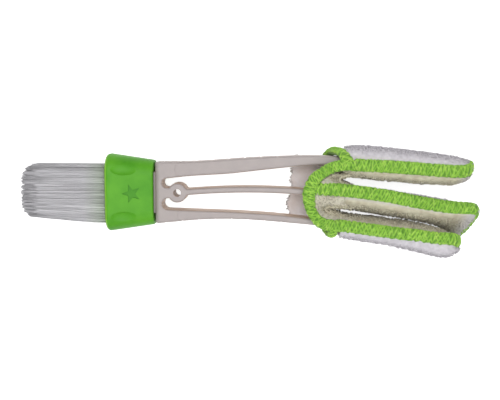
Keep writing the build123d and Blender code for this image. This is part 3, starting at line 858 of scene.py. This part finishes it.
# rows run from the mouth along the near edge, round the tip and back along the far edge:
# (u, height across the finger, distance from its middle, turn in degrees, share of the width if not 1)
seams = {
    "upperSeam": {
        "body": "upper_sleeve", "nodes": ("upper_seam",), "seed": 21, "halfWidth": 2.25, "halfThick": 1.0,
        "rows": [
            (-0.5, 12.6, 9.3, 0), (8, 13.5, 9.5, 0), (17, 14.2, 9.5, 0), (28, 14.9, 9.5, 0), (37, 15.5, 9.5, 0),
            (41.3, 16.1, 9.1, 0), (43.8, 17.1, 7.2, 0), (44.6, 17.8, 4.4, 0), (44.7, 17.9, 0, 0), (44.5, 17.7, -4.4, 0),
            (43.7, 17.0, -7.2, 0), (41.3, 15.9, -9.1, 0), (37, 15.0, -9.5, 0), (20, 14.0, -9.5, 0), (1, 12.9, -9.4, 0),
        ],
    },
    "middleSeam": {
        "body": "glove_core", "nodes": ("middle_seam",), "seed": 25, "halfWidth": 2.3, "halfThick": 1.0,
        "rows": [
            (-12.4, 0.3, 8.8, 9), (-8, 0.7, 9.1, 9), (-3, 0.9, 9.4, 10), (6, 1.1, 9.5, 10.5), (15, 0.9, 9.5, 11.2),
            (26, 0.2, 9.5, 11.8), (34, -0.2, 9.5, 13), (38.5, -1.0, 9.5, 18), (42, -2.0, 9.5, 25.5),
            (45.8, -3.0, 9.4, 33), (48.0, -3.5, 8.8, 37), (48.7, -3.9, 6.6, 38, 0.8), (48.3, -4.1, 0, 38, 0.6),
            (47.5, -4.1, -6.0, 38, 0.6), (46.2, -3.9, -8.6, 36, 0.8), (43.2, -3.2, -9.5, 30),
            (38, -2.2, -9.5, 17), (20, -0.7, -9.5, 11.5), (0, -0.3, -9.4, 10),
        ],
    },
    "lowerSeam": {
        "body": "lower_sleeve", "nodes": ("lower_seam",), "seed": 29, "halfWidth": 2.15, "halfThick": 1.0,
        "rows": [
            (-3, -11.0, 9.3, 0), (4, -10.8, 9.5, 0), (19, -10.7, 9.5, 0), (28, -10.4, 9.5, 0), (35, -10.7, 9.7, 2),
            (39.8, -10.7, 9.5, 5), (42.5, -11.2, 7.9, 7), (44.2, -11.9, 4.2, 9), (44.6, -12.4, -1.0, 9),
            (43.7, -12.8, -5.4, 9), (41.6, -12.7, -7.9, 8), (37.5, -12.4, -9.3, 5), (30, -11.9, -9.5, 1.5),
            (18, -11.8, -9.5, 0), (1, -11.8, -9.4, 0),
        ],
    },
}
for seamName, cut in seams.items():
    spots = [turnedPoint(turn, u, h, b) for u, h, b, turn, *share in cut["rows"]]
    ways = [seamSide(turn, *share) for u, h, b, turn, *share in cut["rows"]]
    rideBand(seamName, cut, spots, ways)
print("seams ready")


# mouth: the bound edge in two halves, the hems that go round the outer arms, and the palm cloth;
# places are (u, v, z) in the glove's own frame, in mm

mouth = {"halfWidth": 2.0, "halfThick": 1.1, "nodes": ("binding_front",)}


def bend(piece):
    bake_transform(piece)


def buildMouth():
    # rows are (u, v, z) and the half width's share, from the middle of the bound edge outwards
    halves = {
        "upperBinding": {
            "rows": [
                (-15.1, -0.4, 9.3, 1.15), (-14.7, 2.8, 9.3, 1.12), (-13.5, 5.6, 9.3, 1.08), (-10.5, 8.7, 9.35, 0.95),
                (-7.2, 10.9, 9.4, 0.95), (-3.4, 12.1, 9.5, 0.95), (2.4, 12.9, 9.75, 0.9),
            ],
            "bodies": ("glove_core", "upper_sleeve"), "start": (-12, 4, 9), "end": (-2.5, 12, 9), "seed": 41,
        },
        "lowerBinding": {
            "rows": [
                (-14.9, 1.0, 9.3, 1.15), (-15.1, -0.9, 9.3, 1.15), (-14.2, -4.8, 9.3, 0.98), (-12.5, -8.0, 9.3, 0.88),
                (-9.8, -10.5, 9.35, 0.95), (-6.2, -11.4, 9.45, 1.05), (-0.5, -11.1, 9.7, 1.0),
            ],
            "bodies": ("glove_core", "lower_sleeve"), "start": (-12, -5, 9), "end": (-4.5, -12, 9), "seed": 43,
        },
    }
    for name, cut in halves.items():
        places = [Vector(row[:3]) for row in cut["rows"]]
        ways = []
        for k, row in enumerate(cut["rows"]):
            ahead = places[min(k + 1, len(places) - 1)] - places[max(k - 1, 0)]
            ways.append(tuple(Vector((0, 0, 1)).cross(ahead).normalized() * row[3]))
        band = buildBand(name, {**mouth, **cut}, places, ways, openStart=True)
        bend(band)


def buildHems():
    # from the front round the arm to the back; each way points across the band
    hems = {
        "upperHem": {
            "places": [(-2.6, 12.9, 9.7), (-3.6, 15.2, 8.9), (-4.8, 16.2, 5.4), (-6.2, 16.4, 0), (-7.4, 16.1, -5.2),
                       (-8.8, 14.7, -8.6), (-9.6, 12.4, -9.4)],
            "ways": [(-0.9, -0.4, 0), (-0.95, -0.2, 0.2), (-1.05, 0, 0.3), (-1.1, 0, 0.35), (-1.0, -0.1, 0.4),
                     (-0.8, -0.3, 0.4), (-0.8, -0.4, 0)],
            "nodes": ("upper_hem",), "body": "upper_sleeve", "seed": 51, "halfWidth": 2.0, "halfThick": 1.45,
        },
        "lowerHem": {
            "places": [(-3.6, -12.2, 9.7), (-4.0, -14.3, 8.8), (-4.2, -15.4, 4.8), (-4.4, -15.5, 0),
                       (-5.0, -15.3, -5.0), (-6, -14.3, -8.6), (-7, -12.2, -9.4)],
            "ways": [(0.9, -0.2, 0), (0.95, -0.1, 0), (0.97, 0, -0.1), (0.97, 0, -0.1), (0.95, 0, -0.2),
                     (0.95, -0.1, -0.2), (0.9, -0.3, 0)],
            "nodes": ("lower_hem",), "body": "lower_sleeve", "seed": 53, "halfWidth": 1.6, "halfThick": 0.95,
        },
    }
    for name, cut in hems.items():
        rideBand(name, cut, cut["places"], cut["ways"])


# unless told otherwise, a sheet's cloth is painted full olive shade
def clothSheet(name, spotAt, cut, wanted=lambda vert: True, shadeAt=lambda vert: 1.0):
    # a grid laid on spotAt(p, q), then given its thickness, its unevenness and its loops
    bm = bmesh.new()
    bmesh.ops.create_grid(bm, x_segments=cut["along"], y_segments=cut["across"], size=0.5)
    for vert in bm.verts:
        vert.co = Vector(spotAt(vert.co.x + 0.5, vert.co.y + 0.5))
    piece = toMesh(bm, name, gloveToRow)
    solid = piece.modifiers.new("thickness", "SOLIDIFY")
    solid.thickness = cut["thickness"] * mm
    solid.offset = 0.0
    bakeModifiers(piece)
    ruffle(piece, amount=0.3, scale=4.0, seed=cut["seed"])
    markPile(piece, wanted, shadeAt)
    pile = addObject(name + "Pile", piece.data.copy())
    addPile(pile, cut["seed"] * 10, keepCloth=False)
    return piece, pile


def finishSheet(cloth, pile, nodes, carry):
    # the cloth and its loops are two pieces, because a sheet is measured by its own area
    dress(cloth, "terry_cloth", nodes)
    dress(pile, "terry_cloth")
    carry(cloth)
    carry(pile)


# the palm's right edge, which steps back where a slit starts: (how far, v, width)
palmRightEdge = {"u": 0.9, "notches": ((5.2, 6.3, 1.5), (8.4, -5.8, 1.3))}
palmFront = {
    "along": 34, "across": 46, "thickness": 1.0, "seed": 61, "low": -10.4, "height": 18.4,
    "roundU": -3.3, "roundV": -1.2, "radius": 9.6, "leastRise": 0.04, "leastWidth": 0.4, "faceZ": 8.5,
    # it sinks in before each slit: (how deep, v, width, u where that starts, length)
    "dips": ((5.5, 6.5, 1.5, -11.5, 9), (6.0, -5.9, 1.7, -12.0, 7)),
    # a shallow sag between the two slits: its depth, then (v, length) of its upper and its lower end
    "sag": 0.9, "sagTop": (1.2, 4), "sagFoot": (-8, 3),
    # where the middle finger's band covers it, and how much olive painted shade its deeper cloth gets
    "bandV": 2.6, "bandHalf": 2.3, "pileFromZ": 2.0, "shadeZ": 8.6, "shadeOver": 1.2, "leastShade": 0.8,
}
palmBack = {
    "along": 46, "across": 50, "thickness": 1.3, "seed": 63, "low": -12.0, "height": 24.4, "faceZ": -8.45,
    "frills": ((0.25, 2.9, 0), (0.2, 5.1, 1)), "wave": 0.25, "waveU": 0.5, "waveV": 0.3,
    "facing": -0.2, "edgeShare": 0.5, "paintedShade": 0.25,
}


def palmRight(v):
    right = palmRightEdge["u"]
    for back, middle, width in palmRightEdge["notches"]:
        right -= back * hump(v, middle, width)
    return right


def palmFrontSpot(p, q):
    cut = palmFront
    v = cut["low"] + cut["height"] * q
    left = cut["roundU"] - math.sqrt(max(cut["radius"]**2 - (v - cut["roundV"]) ** 2, cut["leastRise"]))
    right = max(palmRight(v), left + cut["leastWidth"])
    u = left + (right - left) * p
    z = cut["faceZ"]
    for depth, middle, width, start, over in cut["dips"]:
        z -= depth * smoothStep((u - start) / over) * hump(v, middle, width)
    start, over = cut["dips"][0][3:]
    (top, topOver), (foot, footOver) = cut["sagTop"], cut["sagFoot"]
    share = smoothStep((top - v) / topOver)
    z -= cut["sag"] * share * smoothStep((v - foot) / footOver) * smoothStep((u - start) / over)
    return (u, v, z)


palmEdge = [(-12.0, -20.6), (-10.6, -20.9), (-7.6, -22.2), (-5.0, -22.1), (-2.0, -21.3), (0.5, -21.2), (3.0, -22.4),
            (5.0, -22.2), (7.6, -22.8), (12.4, -22.6)]


def palmBackSpot(p, q):
    cut = palmBack
    v = cut["low"] + cut["height"] * q
    left = along(palmEdge, v)[0]
    for size, waves, shift in cut["frills"]:
        left += size * math.sin(v * waves + shift)
    u = left + (palmRight(v) - left) * p
    z = cut["faceZ"] + cut["wave"] * math.sin(u * cut["waveU"] + v * cut["waveV"])
    return (u, v, z)


def buildPalm():
    inside = gloveToRow.inverted()

    def clearOfBand(vert):
        # no loops under the green band of the middle finger
        p = inside @ vert.co
        return abs(p.y - palmFront["bandV"]) > palmFront["bandHalf"] and p.z > palmFront["pileFromZ"]

    # painted olive shade, deeper where the cloth sinks towards a slit
    def slitShade(vert):
        p = inside @ vert.co
        return max(palmFront["leastShade"], smoothStep((palmFront["shadeZ"] - p.z) / palmFront["shadeOver"]))

    def followUpper(piece):
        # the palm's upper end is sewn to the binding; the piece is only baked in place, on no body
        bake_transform(piece)

    front, pile = clothSheet("palmFront", palmFrontSpot, palmFront, clearOfBand, slitShade)
    finishSheet(front, pile, ["palm_front"], followUpper)

    def farSide(vert):
        # loops only on the outside and round the frilled edge
        p = inside @ vert.co
        return vert.normal.z < palmBack["facing"] or p.x < along(palmEdge, p.y)[0] + palmBack["edgeShare"]

    # its loops get an even light painted olive shade
    back, pile = clothSheet("palmBack", palmBackSpot, palmBack, farSide, lambda vert: palmBack["paintedShade"])
    finishSheet(back, pile, ["palm_back"], lambda piece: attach(piece, "glove_core"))
    back.data.materials[0] = clothReverse


def buildCrotches():
    # folded cloth that closes the root of each slit; "length" is the fold's, laid flat
    form = {"across": 18, "thickness": 0.8, "step": 0.5, "backZ": -8.2, "depth": 15.2}
    crotches = {
        "upperCrotch": {
            "path": [(2.2, 8.8), (-0.8, 8.4), (-3.2, 7.5), (-4.2, 6.3), (-3.2, 5.1), (-0.8, 4.3), (2.2, 3.9)],
            "length": 14.1, "seed": 71,
            "bodies": ("glove_core", "upper_sleeve"), "start": (0, 4.8, 0), "end": (0, 7.9, 0),
        },
        "lowerCrotch": {
            "path": [(2.2, -4.1), (-2.8, -4.3), (-6.6, -4.9), (-7.8, -5.8), (-6.6, -6.8), (-2.8, -7.7), (2.2, -8.2)],
            "length": 20.8, "seed": 73,
            "bodies": ("glove_core", "lower_sleeve"), "start": (0, -4.9, 0), "end": (0, -7.6, 0),
        },
    }
    for name, cut in crotches.items():
        line = curvePoints([(u, v, 0) for u, v in cut["path"]], form["step"])

        def spot(p, q):
            place = line[round(p * (len(line) - 1))]
            return (place.x, place.y, form["backZ"] + form["depth"] * q)

        # the gussets are painted full olive shade
        gusset, pile = clothSheet(name, spot, {**form, "along": len(line) - 1, "seed": cut["seed"]})
        finishSheet(gusset, pile, (), lambda piece: bend(piece))


backBinding = {
    "rows": (-11.6, -8, -4, 0, 4, 8, 11.8), "inset": 2.7, "z": -9.75, "halfWidth": 1.9, "halfThick": 0.5, "seed": 45,
    "nodes": ("binding_back",), "body": "glove_core",
}


def buildBackBinding():
    cut = backBinding
    places = [(along(palmEdge, v)[0] + cut["inset"], v, cut["z"]) for v in cut["rows"]]
    ways = [(1, 0, 0)] * len(places)
    rideBand("backBinding", cut, places, ways)


buildMouth()
buildHems()
buildPalm()
buildCrotches()
buildBackBinding()
print("mouth ready")


# floor, light and camera

stageSet = {
    "floorHeight": -10.95, "floorSize": 3.0, "floorWhite": 0.86, "floorGlow": 0.8, "worldLevel": 0.2, "skyLevel": 1.0,
}


def buildStage():
    bpy.ops.mesh.primitive_grid_add(x_subdivisions=2, y_subdivisions=2, size=stageSet["floorSize"],
                                    location=(0, 0, stageSet["floorHeight"] * mm))
    floor = bpy.context.object
    floor.name = "paleFloor"
    material, tree, shader = newMaterial("paleFloor", 0.9)
    white = stageSet["floorWhite"]
    shader.inputs["Base Color"].default_value = (white, white, white, 1)
    # the floor glows for the camera and in reflections, but lights nothing
    rays = tree.nodes.new("ShaderNodeLightPath")
    seen = addMath(tree, "MAXIMUM", rays.outputs["Is Camera Ray"], rays.outputs["Is Glossy Ray"])
    shader.inputs["Emission Color"].default_value = (1, 1, 1, 1)
    plug(tree, shader.inputs["Emission Strength"], addMath(tree, "MULTIPLY", seen, stageSet["floorGlow"]))
    floor.data.materials.append(material)

    world = bpy.data.worlds.new("studio")
    bpy.context.scene.world = world
    world.use_nodes = True
    tree = world.node_tree
    background = tree.nodes["Background"]
    rays = tree.nodes.new("ShaderNodeLightPath")
    pick = addNode(tree, "ShaderNodeMix", data_type="FLOAT")
    plug(tree, pick.inputs[0], rays.outputs["Is Camera Ray"])
    plug(tree, pick.inputs[2], stageSet["worldLevel"])
    plug(tree, pick.inputs[3], stageSet["skyLevel"])
    background.inputs["Color"].default_value = (1, 1, 1, 1)
    plug(tree, background.inputs["Strength"], pick.outputs[0])


lamps = [
    {"name": "keyLamp", "spot": (0.06, 0.30, 0.62), "aim": (0.03, 0.0, 0.0), "size": 0.45, "watts": 1.5},
    {"name": "lowLamp", "spot": (0.05, -0.36, 0.42), "aim": (0.03, 0.0, 0.0), "size": 0.4, "watts": 0.9},
    {"name": "frontLamp", "spot": (0.02, 0.04, 0.75), "aim": (0.03, 0.0, 0.0), "size": 0.5, "watts": 2.5},
]


def aimAt(spot, target, upward):
    forward = (Vector(target) - Vector(spot)).normalized()
    right = forward.cross(Vector(upward)).normalized()
    up = right.cross(forward)
    turn = Matrix((right, up, -forward)).transposed().to_4x4()
    return Matrix.Translation(spot) @ turn


def buildLamps():
    for lamp in lamps:
        data = bpy.data.lights.new(lamp["name"], "AREA")
        data.energy = lamp["watts"]
        data.size = lamp["size"]
        addObject(lamp["name"], data).matrix_world = aimAt(lamp["spot"], lamp["aim"], (0, 1, 0))


photoCamera = {"spot": (0.0379, 0.0284, 0.30475), "look": (0.0282, -0.0031, 0.0), "focalPixels": 779.0,
               "widthPixels": 500.0, "sensor": 36.0, "near": 0.01, "far": 10.0}


def buildCamera():
    data = bpy.data.cameras.new("photoCamera")
    data.sensor_width = photoCamera["sensor"]
    data.lens = photoCamera["focalPixels"] / photoCamera["widthPixels"] * photoCamera["sensor"]
    data.clip_start = photoCamera["near"]
    data.clip_end = photoCamera["far"]
    camera = addObject("photoCamera", data)
    camera.matrix_world = aimAt(photoCamera["spot"], photoCamera["look"], (0, 1, 0))
    bpy.context.scene.camera = camera


buildStage()
buildLamps()
buildCamera()
bpy.context.scene.view_settings.view_transform = "Standard"
print("stage ready")
